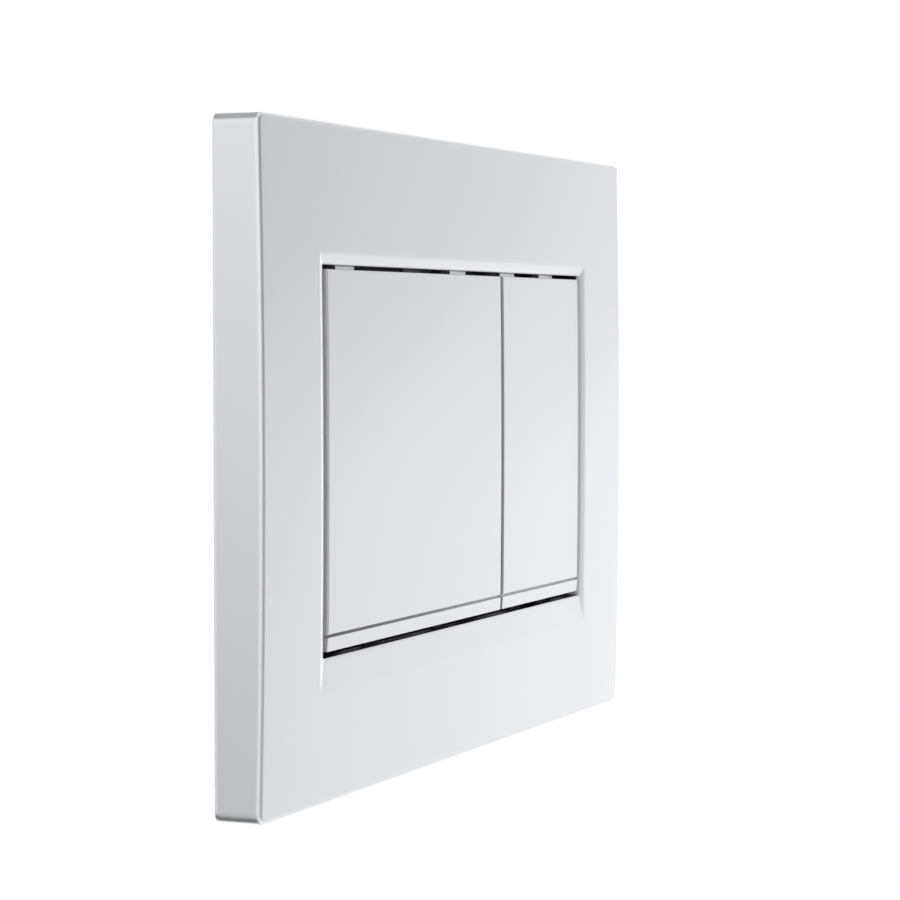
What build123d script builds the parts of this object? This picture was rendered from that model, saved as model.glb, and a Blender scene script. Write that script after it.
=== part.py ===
from build123d import *
import math
import os

# A flush plate for a concealed cistern: a bowed cover frame with two tilting buttons, on a mounting frame.
# All sizes are in millimetres. X runs to the right seen from the front, Y into the wall and Z up.
# The origin is the middle of the plate, on the wall plane.

# Cover frame
plate_width = 246.0
plate_height = 164.0
edge_depth = 11.7
crown = 1.05
corner_radius = 2.4
cover_wall = 2.2
arris = 0.45
rib_width = 1.4
rib_height = 2.4

# Dish and opening for the buttons, in the cover
opening_width = 177.8
opening_height = 94.9
opening_lift = 0.45
dish_depth = 0.8
dish_bevel = 2.7
ramp_height = 8.0
collar_wall = 1.6
collar_setback = 3.7

# Buttons
side_gap = 2.0
top_gap = 1.1
bottom_gap = 1.5
divide_gap = 1.6
divide_x = 26.35
button_inset = 0.45
button_wall = 2.0
button_arris = 0.3
skirt_wall = 1.8
skirt_setback_top = 6.3
skirt_setback_bottom = 3.1
lip_height = 4.0
lip_sink = 0.05
lip_lean = 3.5
groove_width = 0.6
groove_depth = 0.7
button_rib_width = 1.2
button_rib_height = 1.5
full_rib_offsets = (-34.0, 34.0)
half_rib_offsets = (0.0,)

# Hinges at the top of the buttons
press_angle = 3.3
hinge_rise = 4.3
hinge_setback = 5.55
pin_radius = 1.0
pin_fit = 0.02
pin_running_gap = 0.05
pin_overhang = 0.3
arm_width = 11.0
arm_thickness = 2.4
arm_setback = 4.35
eye_wall = 1.7
lug_width = 2.4
lug_wall = 1.9
lug_gap = 0.4
full_arm_spacing = 72.6
half_arm_spacing = 30.4

# Rest hooks at the foot of the buttons
hook_width = 8.0
hook_thickness = 1.0
hook_gap = 0.15
hook_grip = 1.2
full_hook_spacing = 44.0
half_hook_spacing = 20.0

# Mounting frame
frame_margin = 9.8
frame_plate = 2.0
frame_rim = 2.0
frame_rim_height = 4.5
frame_corner = 4.0
window_width = 116.0
window_below_opening = 3.9
window_above_button = 4.5
bridge_height = 18.0
mullion_width = 12.0
side_window_width = 12.0
side_window_height = 84.0
side_window_x = 98.0
notch_gap = 1.5
notch_floor = 0.8

# Snap hooks between cover and mounting frame
snap_spread = 140.0
snap_width = 14.0
snap_thickness = 1.6
snap_gap = 0.3
snap_nose = 1.8
snap_nose_height = 1.7
snap_ledge = 2.1

# Push rods
rod_spread = 80.0
rod_drop = 20.0
rod_radius = 4.5
rod_running_gap = 0.07
rod_reach = 32.0
rod_tail_radius = 3.5
rod_tail_length = 14.0
guide_wall = 1.7
guide_back = 5.0
boss_width = 14.0
boss_height = 0.8
pad_gap = 0.45
pad_radius = 5.0
pad_thickness = 1.8
stem_radius = 2.0
stem_length = 9.0
stem_fit = 0.02
stem_end_gap = 1.0
rod_nut_flats = 7.0
rod_nut_height = 2.2

# Leaf springs and their rivets
full_spring_offset = 19.9
half_spring_side_gap = 2.3
full_spring_width = 19.0
half_spring_width = 12.0
spring_thickness = 0.5
spring_edge_gap = 2.0
spring_base = 20.0
spring_contact_drop = 38.0
spring_gap = 0.15
spring_curl = 4.5
spring_bend = 3.0
rivet_radius = 1.5
rivet_head_radius = 2.5
rivet_head_height = 1.1
rivet_fit = 0.02
rivet_edge = 4.0
peg_width = 3.0
peg_height = 2.0
peg_drop = 4.6
peg_fit = 0.05
peg_rise = 0.3
flush_gap = 0.1

# Fixing bolts
bolt_spread = 144.0
bolt_radius = 3.0
bolt_reach = 20.0
bolt_neck_radius = 2.6
bolt_neck_end = 0.6
bolt_head_flats = 10.0
bolt_head_height = 3.0
bolt_slot_width = 1.2
bolt_slot_depth = 1.4
bolt_clearance = 0.3
bolt_slot_play = 2.7
washer_width = 20.0
washer_height = 16.0
washer_thickness = 1.2

# End-stop buffers
buffer_width = 9.0
buffer_height = 4.4
buffer_gap = 0.3
buffer_stem_inset = 1.2
buffer_fit = 0.02
full_buffer_spacing = 84.0
half_buffer_spacing = 42.0

# Planes and places worked out from the sizes above
bow_radius = (plate_height**2 / 4 + crown**2) / (2 * crown)
bow_centre_y = bow_radius - edge_depth - crown
opening_top = opening_lift + opening_height / 2
opening_bottom = opening_lift - opening_height / 2
button_top = opening_top - top_gap
button_bottom = opening_bottom + bottom_gap
full_left = side_gap - opening_width / 2
full_right = divide_x - divide_gap / 2
half_left = divide_x + divide_gap / 2
half_right = opening_width / 2 - side_gap
full_middle = (full_left + full_right) / 2
half_middle = (half_left + half_right) / 2
hinge_y = hinge_setback - edge_depth
hinge_z = opening_top + hinge_rise
collar_back = collar_setback - edge_depth
hook_front = collar_back + hook_gap
hook_back = hook_front + hook_thickness
hook_bottom = opening_bottom - hook_grip
frame_half_width = plate_width / 2 - cover_wall - frame_margin
frame_half_height = plate_height / 2 - cover_wall - frame_margin
frame_front = -frame_plate
frame_rim_front = -frame_rim_height
window_top = opening_top - window_below_opening
window_bottom = button_bottom + window_above_button
rod_z = -rod_drop


def front_y(z, inset=0.0):
    """Y of the bowed front at height z, or of a surface that lies inset behind it."""
    return bow_centre_y - math.sqrt((bow_radius - inset) ** 2 - z**2)


def pair(middle_x, spacing):
    """Two places, half the spacing to each side of the middle."""
    return (middle_x - spacing / 2, middle_x + spacing / 2)


boss_back = front_y(rod_z, button_inset + button_wall) + boss_height
pad_front = boss_back + pad_gap
pad_back = pad_front + pad_thickness
rod_front = pad_back + rod_nut_height
rod_places = pair(0, rod_spread)
bolt_places = pair(0, bolt_spread)
full_arms = pair(full_middle, full_arm_spacing)
half_arms = pair(half_middle, half_arm_spacing)
full_hooks = pair(full_middle, full_hook_spacing)
half_hooks = pair(half_middle, half_hook_spacing)
full_spring_x = full_middle + full_spring_offset
half_spring_x = half_right - skirt_wall - half_spring_side_gap - half_spring_width / 2
spring_places = (full_spring_x, half_spring_x)
rivet_z = frame_half_height - frame_rim - spring_edge_gap - rivet_edge
peg_z = rivet_z - peg_drop
full_buffers = pair(full_middle, full_buffer_spacing)
half_buffers = pair(half_middle, half_buffer_spacing)
buffer_z = button_bottom + skirt_wall / 2
foot_behind = skirt_setback_bottom - hinge_setback
foot_below = hinge_z - button_bottom
press = math.radians(press_angle)
pressed_foot = hinge_y + foot_behind * math.cos(press) + foot_below * math.sin(press)
buffer_front = pressed_foot + buffer_gap


def slab(x0, x1, y0, y1, z0, z1):
    """Box between two opposite corners."""
    middle = Pos((x0 + x1) / 2, (y0 + y1) / 2, (z0 + z1) / 2)
    return middle * Box(x1 - x0, y1 - y0, z1 - z0)


def bar_along_x(radius, x0, x1, y, z):
    """Round bar parallel to X."""
    return Pos((x0 + x1) / 2, y, z) * Rot(0, 90, 0) * Cylinder(radius, x1 - x0)


def bar_along_y(radius, y0, y1, x, z):
    """Round bar parallel to Y."""
    return Pos(x, (y0 + y1) / 2, z) * Rot(90, 0, 0) * Cylinder(radius, y1 - y0)


def across(profile, x0, x1):
    """Solid of a closed outline in Y and Z, drawn out from x0 to x1."""
    return Pos(x0, 0, 0) * extrude(Plane.YZ * make_face(profile), x1 - x0)


def through(outline, y0, y1, x=0.0, z=0.0):
    """Solid of a flat outline in X and Z, drawn out from y0 to y1."""
    return Pos(x, y1, z) * extrude(Plane.XZ * outline, y1 - y0)


def turned(points, x, z):
    """Solid of an outline of radius and Y, turned about a line parallel to Y."""
    outline = make_face(Polyline(*points, close=True))
    return Pos(x, 0, z) * revolve(outline, Axis.Y)


def bowed_block(x0, x1, z0, z1, inset, back):
    """Block with the plate's bowed front, sunk by inset, and a flat back."""
    middle_z = (z0 + z1) / 2
    low = (front_y(z0, inset), z0)
    high = (front_y(z1, inset), z1)
    bow = ThreePointArc(high, (front_y(middle_z, inset), middle_z), low)
    rest = Polyline(low, (back, z0), (back, z1), high)
    return across(bow + rest, x0, x1)


def dish_cutter():
    """The shallow dish round the buttons: bevels at the top and sides, and a long ramp at the bottom."""
    ahead = 2 * dish_depth
    outer_top = opening_top + dish_bevel
    outer_bottom = opening_bottom - ramp_height
    top_lead = dish_bevel * ahead / dish_depth
    ramp_lead = ramp_height * ahead / dish_depth
    floor_top = (front_y(opening_top, dish_depth), opening_top)
    floor_middle = (front_y(opening_lift, dish_depth), opening_lift)
    floor_bottom = (front_y(opening_bottom, dish_depth), opening_bottom)
    floor = ThreePointArc(floor_top, floor_middle, floor_bottom)
    mouth = Polyline(
        floor_bottom,
        (front_y(outer_bottom), outer_bottom),
        (front_y(outer_bottom) - ahead, outer_bottom - ramp_lead),
        (front_y(outer_top) - ahead, outer_top + top_lead),
        (front_y(outer_top), outer_top),
        floor_top,
    )
    height_cut = across(floor + mouth, -plate_width / 2, plate_width / 2)
    half = opening_width / 2
    lead = dish_bevel * (dish_depth + ahead) / dish_depth
    floor_y = front_y(0, dish_depth)
    side_outline = Polyline(
        (-half, floor_y),
        (half, floor_y),
        (half + lead, floor_y - dish_depth - ahead),
        (-half - lead, floor_y - dish_depth - ahead),
        close=True,
    )
    bow_axis = Axis((0, bow_centre_y, 0), (1, 0, 0))
    swing = 2 * math.degrees(math.asin(plate_height / 2 / bow_radius))
    width_cut = revolve(make_face(side_outline), bow_axis, swing).rotate(bow_axis, -swing / 2)
    return height_cut & width_cut


def collar():
    """Inner edge of the opening, drawn back to guide the buttons."""
    half = opening_width / 2
    return bowed_block(
        -half - collar_wall,
        half + collar_wall,
        opening_bottom - collar_wall,
        opening_top + collar_wall,
        cover_wall - dish_depth,
        collar_back,
    )


def hinge_lug(middle_x):
    """Lug on the cover's inside that holds a hinge pin."""
    radius = pin_radius + lug_wall
    root = front_y(hinge_z, cover_wall / 2)
    plate = slab(
        middle_x - lug_width / 2,
        middle_x + lug_width / 2,
        root,
        hinge_y,
        hinge_z - radius,
        hinge_z + radius,
    )
    nose = bar_along_x(radius, middle_x - lug_width / 2, middle_x + lug_width / 2, hinge_y, hinge_z)
    return plate + nose


def lug_middles(arms):
    """X of the two lugs, each on the outer side of one of a button's hinge arms."""
    step = arm_width / 2 + lug_gap + lug_width / 2
    return (arms[0] - step, arms[1] + step)


def snap_hook(middle_x, side):
    """Springy hook on the cover that catches a ledge of the mounting frame; side is 1 above and -1 below."""
    inner = frame_half_height + snap_gap
    root = front_y(inner, cover_wall / 2)
    catch_y = snap_ledge - frame_rim_height
    tip_y = catch_y + snap_nose_height
    outline = Polyline(
        (root, side * inner),
        (root, side * (inner + snap_thickness)),
        (tip_y, side * (inner + snap_thickness)),
        (tip_y, side * inner),
        (catch_y, side * (inner - snap_nose)),
        (catch_y, side * inner),
        close=True,
    )
    return across(outline, middle_x - snap_width / 2, middle_x + snap_width / 2)


def cover_rib(x0, x1, z0, z1):
    """Stiffening rib on the inside of the cover's front."""
    return bowed_block(x0, x1, z0, z1, cover_wall / 2, front_y(0, cover_wall) + rib_height)


def make_cover_frame():
    """Moulded cover: bowed front, dish and opening, with lugs, snap hooks and ribs behind."""
    half_width = plate_width / 2
    half_height = plate_height / 2
    outline = RectangleRounded(plate_width, plate_height, corner_radius)
    stock = bowed_block(-plate_width, plate_width, -plate_height, plate_height, 0, 0)
    body = stock & through(outline, -2 * edge_depth, edge_depth)
    front = body.faces().sort_by(Axis.Y)[0]
    body = chamfer(front.edges(), arris)
    body -= bowed_block(
        cover_wall - half_width,
        half_width - cover_wall,
        cover_wall - half_height,
        half_height - cover_wall,
        cover_wall,
        edge_depth,
    )
    body += collar()
    body -= dish_cutter()
    body -= slab(
        -opening_width / 2,
        opening_width / 2,
        -2 * edge_depth,
        0,
        opening_bottom,
        opening_top,
    )
    for middle_x in lug_middles(full_arms) + lug_middles(half_arms):
        body += hinge_lug(middle_x)
    bore = pin_radius + pin_fit
    body -= bar_along_x(bore, -opening_width / 2, opening_width / 2, hinge_y, hinge_z)
    for middle_x in pair(0, snap_spread):
        body += snap_hook(middle_x, 1)
        body += snap_hook(middle_x, -1)
    rib_x = (opening_width / 2 + collar_wall + half_width - cover_wall) / 2
    rib_end = frame_half_height - frame_rim
    for x in (-rib_x, rib_x):
        body += cover_rib(x - rib_width / 2, x + rib_width / 2, -rib_end, rib_end)
    rib_z = (opening_bottom - collar_wall - frame_half_height) / 2
    body += cover_rib(-rib_x, rib_x, rib_z - rib_width / 2, rib_z + rib_width / 2)
    return body


def button_shell(left, right):
    """Button moulding: bowed face, lower lip behind a shadow groove, and skirts that taper downwards."""
    fold_z = button_bottom + lip_height
    lip_z = fold_z - groove_width
    middle_z = (fold_z + button_top) / 2
    groove_y = front_y(fold_z, button_inset) + groove_depth
    lip_y = front_y(fold_z, button_inset) + lip_sink
    foot_y = lip_y + (lip_z - button_bottom) * math.tan(math.radians(lip_lean))
    top_corner = (front_y(button_top, button_inset), button_top)
    fold_corner = (front_y(fold_z, button_inset), fold_z)
    face = ThreePointArc(top_corner, (front_y(middle_z, button_inset), middle_z), fold_corner)
    rest = Polyline(
        fold_corner,
        (groove_y, fold_z),
        (groove_y, lip_z),
        (lip_y, lip_z),
        (foot_y, button_bottom),
        (skirt_setback_bottom - edge_depth, button_bottom),
        (skirt_setback_top - edge_depth, button_top),
        top_corner,
    )
    shell = across(face + rest, left, right)
    front = shell.faces().filter_by(GeomType.CYLINDER).sort_by(Axis.Y)[0]
    shell = chamfer(front.edges(), button_arris)
    return shell - bowed_block(
        left + skirt_wall,
        right - skirt_wall,
        button_bottom + skirt_wall,
        button_top - skirt_wall,
        button_inset + button_wall,
        edge_depth,
    )


def hinge_arm(middle_x):
    """Arm that rises behind the cover to the button's eye on the hinge pin."""
    x0 = middle_x - arm_width / 2
    x1 = middle_x + arm_width / 2
    arm_front = arm_setback - edge_depth
    blade = slab(x0, x1, arm_front, arm_front + arm_thickness, button_top - skirt_wall, hinge_z)
    eye = bar_along_x(pin_radius + eye_wall, x0, x1, hinge_y, hinge_z)
    return blade + eye


def rest_hook(middle_x):
    """Hook that reaches down behind the cover's collar and stops the button at rest."""
    x0 = middle_x - hook_width / 2
    x1 = middle_x + hook_width / 2
    tongue_front = skirt_setback_bottom - edge_depth - skirt_wall
    tongue = slab(x0, x1, tongue_front, hook_back, button_bottom, button_bottom + skirt_wall)
    return tongue + slab(x0, x1, hook_front, hook_back, hook_bottom, button_bottom + skirt_wall)


def button_rib(x0, x1, z0, z1):
    """Stiffening rib on the inside of a button's face."""
    inner = button_inset + button_wall
    return bowed_block(x0, x1, z0, z1, inner - button_wall / 2, front_y(0, inner) + button_rib_height)


def make_button(left, right, arms, hooks, rib_offsets, rod_x):
    """One whole button with its arms, rest hooks, ribs and the boss that the push rod meets."""
    body = button_shell(left, right)
    for arm_x in arms:
        body += hinge_arm(arm_x)
    body -= bar_along_x(pin_radius + pin_running_gap, left, right, hinge_y, hinge_z)
    for hook_x in hooks:
        body += rest_hook(hook_x)
    boss_half = boss_width / 2
    rib_z = rod_z - boss_half - button_rib_width
    for offset in rib_offsets:
        rib_x = (left + right) / 2 + offset
        body += button_rib(
            rib_x - button_rib_width / 2,
            rib_x + button_rib_width / 2,
            button_bottom + skirt_wall / 2,
            button_top - skirt_wall / 2,
        )
    body += button_rib(
        left + skirt_wall / 2,
        right - skirt_wall / 2,
        rib_z - button_rib_width,
        rib_z,
    )
    boss_root = boss_back - boss_height - button_wall / 2
    return body + slab(
        rod_x - boss_half,
        rod_x + boss_half,
        boss_root,
        boss_back,
        rod_z - boss_half,
        rod_z + boss_half,
    )


def make_hinge_pin(arms):
    """Steel pin through a button's two arms, held by the lugs beside them."""
    lugs = lug_middles(arms)
    overhang = lug_width / 2 + pin_overhang
    return bar_along_x(pin_radius, lugs[0] - overhang, lugs[-1] + overhang, hinge_y, hinge_z)


def make_spring(middle_x, width):
    """Leaf spring: flat root on the mounting frame, long leaf, and a curled tip behind the button."""
    root_y = frame_front - spring_thickness / 2
    root_top = frame_half_height - frame_rim - spring_edge_gap
    tip_z = hinge_z - spring_contact_drop
    face_y = front_y(tip_z, button_inset + button_wall)
    tip_y = face_y + spring_gap + spring_thickness / 2
    path = FilletPolyline(
        (root_y, root_top),
        (root_y, root_top - spring_base),
        (tip_y, tip_z),
        (tip_y + spring_curl, tip_z - spring_curl),
        radius=spring_bend,
    )
    leaf = Plane.YZ * trace(path, spring_thickness)
    spring = Pos(middle_x - width / 2, 0, 0) * extrude(leaf, width)
    spring -= bar_along_y(rivet_radius + rivet_fit, -edge_depth, 0, middle_x, rivet_z)
    return spring - locating_peg(middle_x, peg_fit)


def locating_peg(x, fit):
    """Square peg on the mounting frame that keeps a leaf spring from turning, grown by fit on each side."""
    half_width = peg_width / 2 + fit
    half_height = peg_height / 2 + fit
    tip = frame_front - spring_thickness - peg_rise
    root = frame_front + frame_plate / 2
    return slab(x - half_width, x + half_width, tip, root, peg_z - half_height, peg_z + half_height)


def make_rivet(x):
    """Rivet with a flat round head that holds a leaf spring to the mounting frame."""
    seat = frame_front - spring_thickness
    head = seat - rivet_head_height
    return turned(
        [
            (0, head),
            (rivet_head_radius, head),
            (rivet_head_radius, seat),
            (rivet_radius, seat),
            (rivet_radius, -flush_gap),
            (0, -flush_gap),
        ],
        x,
        rivet_z,
    )


def make_push_rod(x):
    """Push rod: front end bored for the head's stem, and a slimmer tail for the valve's lever."""
    tail_start = rod_reach - rod_tail_length
    return turned(
        [
            (stem_radius + stem_fit, rod_front),
            (rod_radius, rod_front),
            (rod_radius, tail_start),
            (rod_tail_radius, tail_start),
            (rod_tail_radius, rod_reach),
            (0, rod_reach),
            (0, pad_back + stem_length + stem_end_gap),
            (stem_radius + stem_fit, pad_back + stem_length + stem_end_gap),
        ],
        x,
        rod_z,
    )


def make_rod_pad(x):
    """Head of a push rod: a disc with a stem behind."""
    return turned(
        [
            (0, pad_front),
            (pad_radius, pad_front),
            (pad_radius, pad_back),
            (stem_radius, pad_back),
            (stem_radius, pad_back + stem_length),
            (0, pad_back + stem_length),
        ],
        x,
        rod_z,
    )


def make_rod_nut(x):
    """Hexagonal lock nut between the rod and its head."""
    hexagon = RegularPolygon(rod_nut_flats / 2, 6, major_radius=False)
    return through(hexagon - Circle(stem_radius + stem_fit), pad_back, rod_front, x, rod_z)


def make_fixing_bolt(x):
    """Slotted hexagon bolt, necked in the mounting frame, that holds it to the cistern."""
    seat = frame_front - washer_thickness
    head = seat - bolt_head_height
    hexagon = RegularPolygon(bolt_head_flats / 2, 6, major_radius=False)
    bolt = through(hexagon, head, seat, x, 0)
    bolt += bar_along_y(bolt_neck_radius, seat, bolt_neck_end, x, 0)
    bolt += bar_along_y(bolt_radius, bolt_neck_end, bolt_reach, x, 0)
    return bolt - slab(
        x - bolt_head_flats,
        x + bolt_head_flats,
        head - bolt_slot_depth,
        head + bolt_slot_depth,
        -bolt_slot_width / 2,
        bolt_slot_width / 2,
    )


def make_bolt_washer(x):
    """Oblong washer that covers the slot in the mounting frame."""
    plate = Rectangle(washer_width, washer_height) - Circle(bolt_radius + bolt_clearance)
    return through(plate, frame_front - washer_thickness, frame_front, x, 0)


def buffer_block(x, front, back, inset):
    """Oblong block where a buffer sits, smaller than the buffer by inset all round."""
    half_width = buffer_width / 2 - inset
    half_height = buffer_height / 2 - inset
    return slab(x - half_width, x + half_width, front, back, buffer_z - half_height, buffer_z + half_height)


def make_buffer(x):
    """Rubber buffer with a stem in the mounting frame, where a pressed button stops."""
    head = buffer_block(x, buffer_front, frame_front, 0)
    return head + buffer_block(x, frame_front, -flush_gap, buffer_stem_inset)


def make_mounting_frame():
    """Carrier behind the cover: plate with rim, service windows, bridge, mullion, slots, notches and ledges."""
    width = 2 * frame_half_width
    height = 2 * frame_half_height
    outline = RectangleRounded(width, height, frame_corner)
    inner = RectangleRounded(width - 2 * frame_rim, height - 2 * frame_rim, frame_corner - frame_rim)
    body = through(outline, frame_rim_front, 0) - through(inner, 2 * frame_rim_front, frame_front)
    half_window = window_width / 2
    body -= slab(-half_window, half_window, -edge_depth, edge_depth, window_bottom, window_top)
    bridge_half = bridge_height / 2
    body += slab(-half_window, half_window, frame_front, 0, rod_z - bridge_half, rod_z + bridge_half)
    mullion_half = mullion_width / 2
    body += slab(divide_x - mullion_half, divide_x + mullion_half, frame_front, 0, window_bottom, window_top)
    side_window = Rectangle(side_window_width, side_window_height)
    for x in (-side_window_x, side_window_x):
        body -= through(side_window, -edge_depth, edge_depth, x, 0)
    bore = rod_radius + rod_running_gap
    for x in rod_places:
        body += bar_along_y(bore + guide_wall, frame_front, guide_back, x, rod_z)
    for x in rod_places:
        body -= bar_along_y(bore, -edge_depth, 2 * guide_back, x, rod_z)
    slot_length = 2 * (bolt_radius + bolt_clearance + bolt_slot_play)
    slot = SlotOverall(slot_length, 2 * (bolt_radius + bolt_clearance))
    for x in bolt_places:
        body -= through(slot, -edge_depth, edge_depth, x, 0)
    notch_top = window_bottom + frame_plate
    notch_bottom = hook_bottom - notch_gap
    half_notch = hook_width / 2 + notch_gap
    for x in full_hooks + half_hooks:
        body -= slab(x - half_notch, x + half_notch, -edge_depth, -notch_floor, notch_bottom, notch_top)
    for x in full_buffers + half_buffers:
        body -= buffer_block(x, -edge_depth, edge_depth, buffer_stem_inset - buffer_fit)
    for x in spring_places:
        body += locating_peg(x, 0)
        body -= bar_along_y(rivet_radius + rivet_fit, -edge_depth, edge_depth, x, rivet_z)
    catch_y = snap_ledge - frame_rim_height
    half_catch = snap_width / 2 + snap_gap
    reach = snap_nose + snap_gap
    for x in pair(0, snap_spread):
        for side in (-1, 1):
            outer = side * (frame_half_height + snap_gap)
            near = side * (frame_half_height - reach)
            low = min(outer, near)
            high = max(outer, near)
            body -= slab(x - half_catch, x + half_catch, catch_y, edge_depth, low, high)
    return body


nodes = {
    "cover_frame": make_cover_frame(),
    "full_button": make_button(full_left, full_right, full_arms, full_hooks, full_rib_offsets, rod_places[0]),
    "half_button": make_button(half_left, half_right, half_arms, half_hooks, half_rib_offsets, rod_places[1]),
    "full_hinge_pin": make_hinge_pin(full_arms),
    "half_hinge_pin": make_hinge_pin(half_arms),
    "mounting_frame": make_mounting_frame(),
    "full_spring": make_spring(full_spring_x, full_spring_width),
    "half_spring": make_spring(half_spring_x, half_spring_width),
    "spring_rivets": Compound(children=[make_rivet(x) for x in spring_places]),
    "full_push_rod": make_push_rod(rod_places[0]),
    "half_push_rod": make_push_rod(rod_places[1]),
    "full_rod_pad": make_rod_pad(rod_places[0]),
    "half_rod_pad": make_rod_pad(rod_places[1]),
    "full_rod_nut": make_rod_nut(rod_places[0]),
    "half_rod_nut": make_rod_nut(rod_places[1]),
    "left_fixing_bolt": make_fixing_bolt(bolt_places[0]),
    "right_fixing_bolt": make_fixing_bolt(bolt_places[1]),
    "left_bolt_washer": make_bolt_washer(bolt_places[0]),
    "right_bolt_washer": make_bolt_washer(bolt_places[1]),
    "full_left_buffer": make_buffer(full_buffers[0]),
    "full_right_buffer": make_buffer(full_buffers[1]),
    "half_left_buffer": make_buffer(half_buffers[0]),
    "half_right_buffer": make_buffer(half_buffers[1]),
}

os.makedirs("parts", exist_ok=True)
for name, solid in nodes.items():
    export_step(solid, f"parts/{name}.step")
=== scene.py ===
import logging
import math
from collections.abc import Callable, Sequence
from dataclasses import dataclass
from enum import Enum

import bmesh
import bpy
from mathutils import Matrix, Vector


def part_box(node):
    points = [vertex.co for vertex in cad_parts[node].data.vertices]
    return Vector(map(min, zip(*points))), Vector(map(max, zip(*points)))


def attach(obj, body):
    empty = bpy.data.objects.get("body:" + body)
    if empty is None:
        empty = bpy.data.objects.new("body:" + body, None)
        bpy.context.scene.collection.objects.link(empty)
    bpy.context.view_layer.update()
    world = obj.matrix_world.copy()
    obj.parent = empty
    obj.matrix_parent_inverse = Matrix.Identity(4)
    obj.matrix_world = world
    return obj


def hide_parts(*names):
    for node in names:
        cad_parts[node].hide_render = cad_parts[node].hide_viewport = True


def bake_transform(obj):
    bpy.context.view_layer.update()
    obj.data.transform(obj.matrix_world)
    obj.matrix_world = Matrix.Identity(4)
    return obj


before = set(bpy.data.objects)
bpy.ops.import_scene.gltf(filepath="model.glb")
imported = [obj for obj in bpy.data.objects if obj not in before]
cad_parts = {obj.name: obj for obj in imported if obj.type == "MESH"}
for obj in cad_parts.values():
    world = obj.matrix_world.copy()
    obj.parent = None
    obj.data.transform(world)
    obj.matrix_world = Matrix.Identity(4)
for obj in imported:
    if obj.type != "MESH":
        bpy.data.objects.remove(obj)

LOG = logging.getLogger("flush_plate")
MM = 0.001
HAIR = 0.001 * MM
Material = bpy.types.Material
Node = bpy.types.Node
NodeTree = bpy.types.NodeTree
Piece = bpy.types.Object
Socket = bpy.types.NodeSocket
Sockets = bpy.types.NodeOutputs
Inputs = dict[str | int, object]
Triple = tuple[float, float, float]
Outline = Sequence[tuple[float, float]]


class Body(str, Enum):
    """Bodies of the frame that pieces ride on."""

    PLATE = "plate"
    FULL_BUTTON = "full_button"
    HALF_BUTTON = "half_button"
    FULL_ROD = "full_rod"
    HALF_ROD = "half_rod"


class MixKind(Enum):
    """Kinds of Mix node, with the places of A and B among its inputs and of its output."""

    FLOAT = (2, 3, 0)
    RGBA = (6, 7, 2)


def neutral(shade: float) -> Triple:
    """Returns the neutral grey of a shade."""
    return (shade, shade, shade)


@dataclass(frozen=True)
class Wiring:
    """A shader node tree, with short ways to add and join its nodes."""

    tree: NodeTree

    @classmethod
    def material(cls, name: str) -> tuple[Material, "Wiring", Node]:
        """Makes a material with a bare Principled shader.

        Args:
            name: Name of the material.

        Returns:
            The material, its wiring and its Principled node.
        """
        material = bpy.data.materials.new(name)
        material.use_nodes = True
        tree = material.node_tree
        return material, cls(tree), tree.nodes["Principled BSDF"]

    def feed(self, node: Node, inputs: Inputs) -> Node:
        """Links or sets inputs of a node.

        Args:
            node: The node.
            inputs: Socket, number, vector or colour for each input, by its name or place.

        Returns:
            The node.
        """
        for key, value in inputs.items():
            socket = node.inputs[key]
            if isinstance(value, Socket):
                self.tree.links.new(value, socket)
            elif socket.type == "RGBA":
                socket.default_value = (*value, 1.0)
            else:
                socket.default_value = value
        return node

    def add(self, kind: str, inputs: Inputs) -> Node:
        """Adds a node.

        Args:
            kind: Type of the node, without the word ShaderNode.
            inputs: What its inputs get, by name or place.

        Returns:
            The node.
        """
        return self.feed(self.tree.nodes.new(f"ShaderNode{kind}"), inputs)

    def calc(self, kind: str, first: object, second: object = 0.0) -> Socket:
        """Adds a Math node.

        Args:
            kind: Operation of the node.
            first: Number or socket for the first input.
            second: Number or socket for the second input.

        Returns:
            The node's output.
        """
        node = self.add("Math", {0: first, 1: second})
        node.operation = kind
        return node.outputs[0]

    def mix(
        self, factor: Socket, first: object, second: object, kind: MixKind = MixKind.RGBA
    ) -> Socket:
        """Adds a Mix node.

        Args:
            factor: Share of the second value.
            first: Value or socket for A.
            second: Value or socket for B.
            kind: Whether it mixes numbers or colours.

        Returns:
            The node's output.
        """
        place_a, place_b, out = kind.value
        node = self.add("Mix", {0: factor, place_a: first, place_b: second})
        node.data_type = kind.name
        return node.outputs[out]

    def ramp(self, value: Socket, start: float, end: float, top: float = 1.0) -> Socket:
        """Adds a ramp from 0 at one value to its top at another.

        Args:
            value: What the ramp reads.
            start: Value at which it is 0.
            end: Value at which it reaches its top.
            top: Its top.

        Returns:
            The node's output.
        """
        inputs = {"Value": value, "From Min": start, "From Max": end, "To Max": top}
        return self.add("MapRange", inputs).outputs["Result"]

    def axes(self, vector: Socket) -> Sockets:
        """Returns the X, Y and Z of a vector."""
        return self.add("SeparateXYZ", {"Vector": vector}).outputs

    def place(self) -> Socket:
        """Returns the shaded point's place in the object's own coordinates."""
        return self.add("TexCoord", {}).outputs["Object"]

    def soften(self, bump: Node, radius: float, samples: int) -> None:
        """Rounds the look of sharp edges below a grain.

        Args:
            bump: The grain's Bump node.
            radius: Radius of the rounding.
            samples: Rays that find the edges.
        """
        soft = self.add("Bevel", {"Radius": radius})
        soft.samples = samples
        self.feed(bump, {"Normal": soft.outputs["Normal"]})


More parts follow.
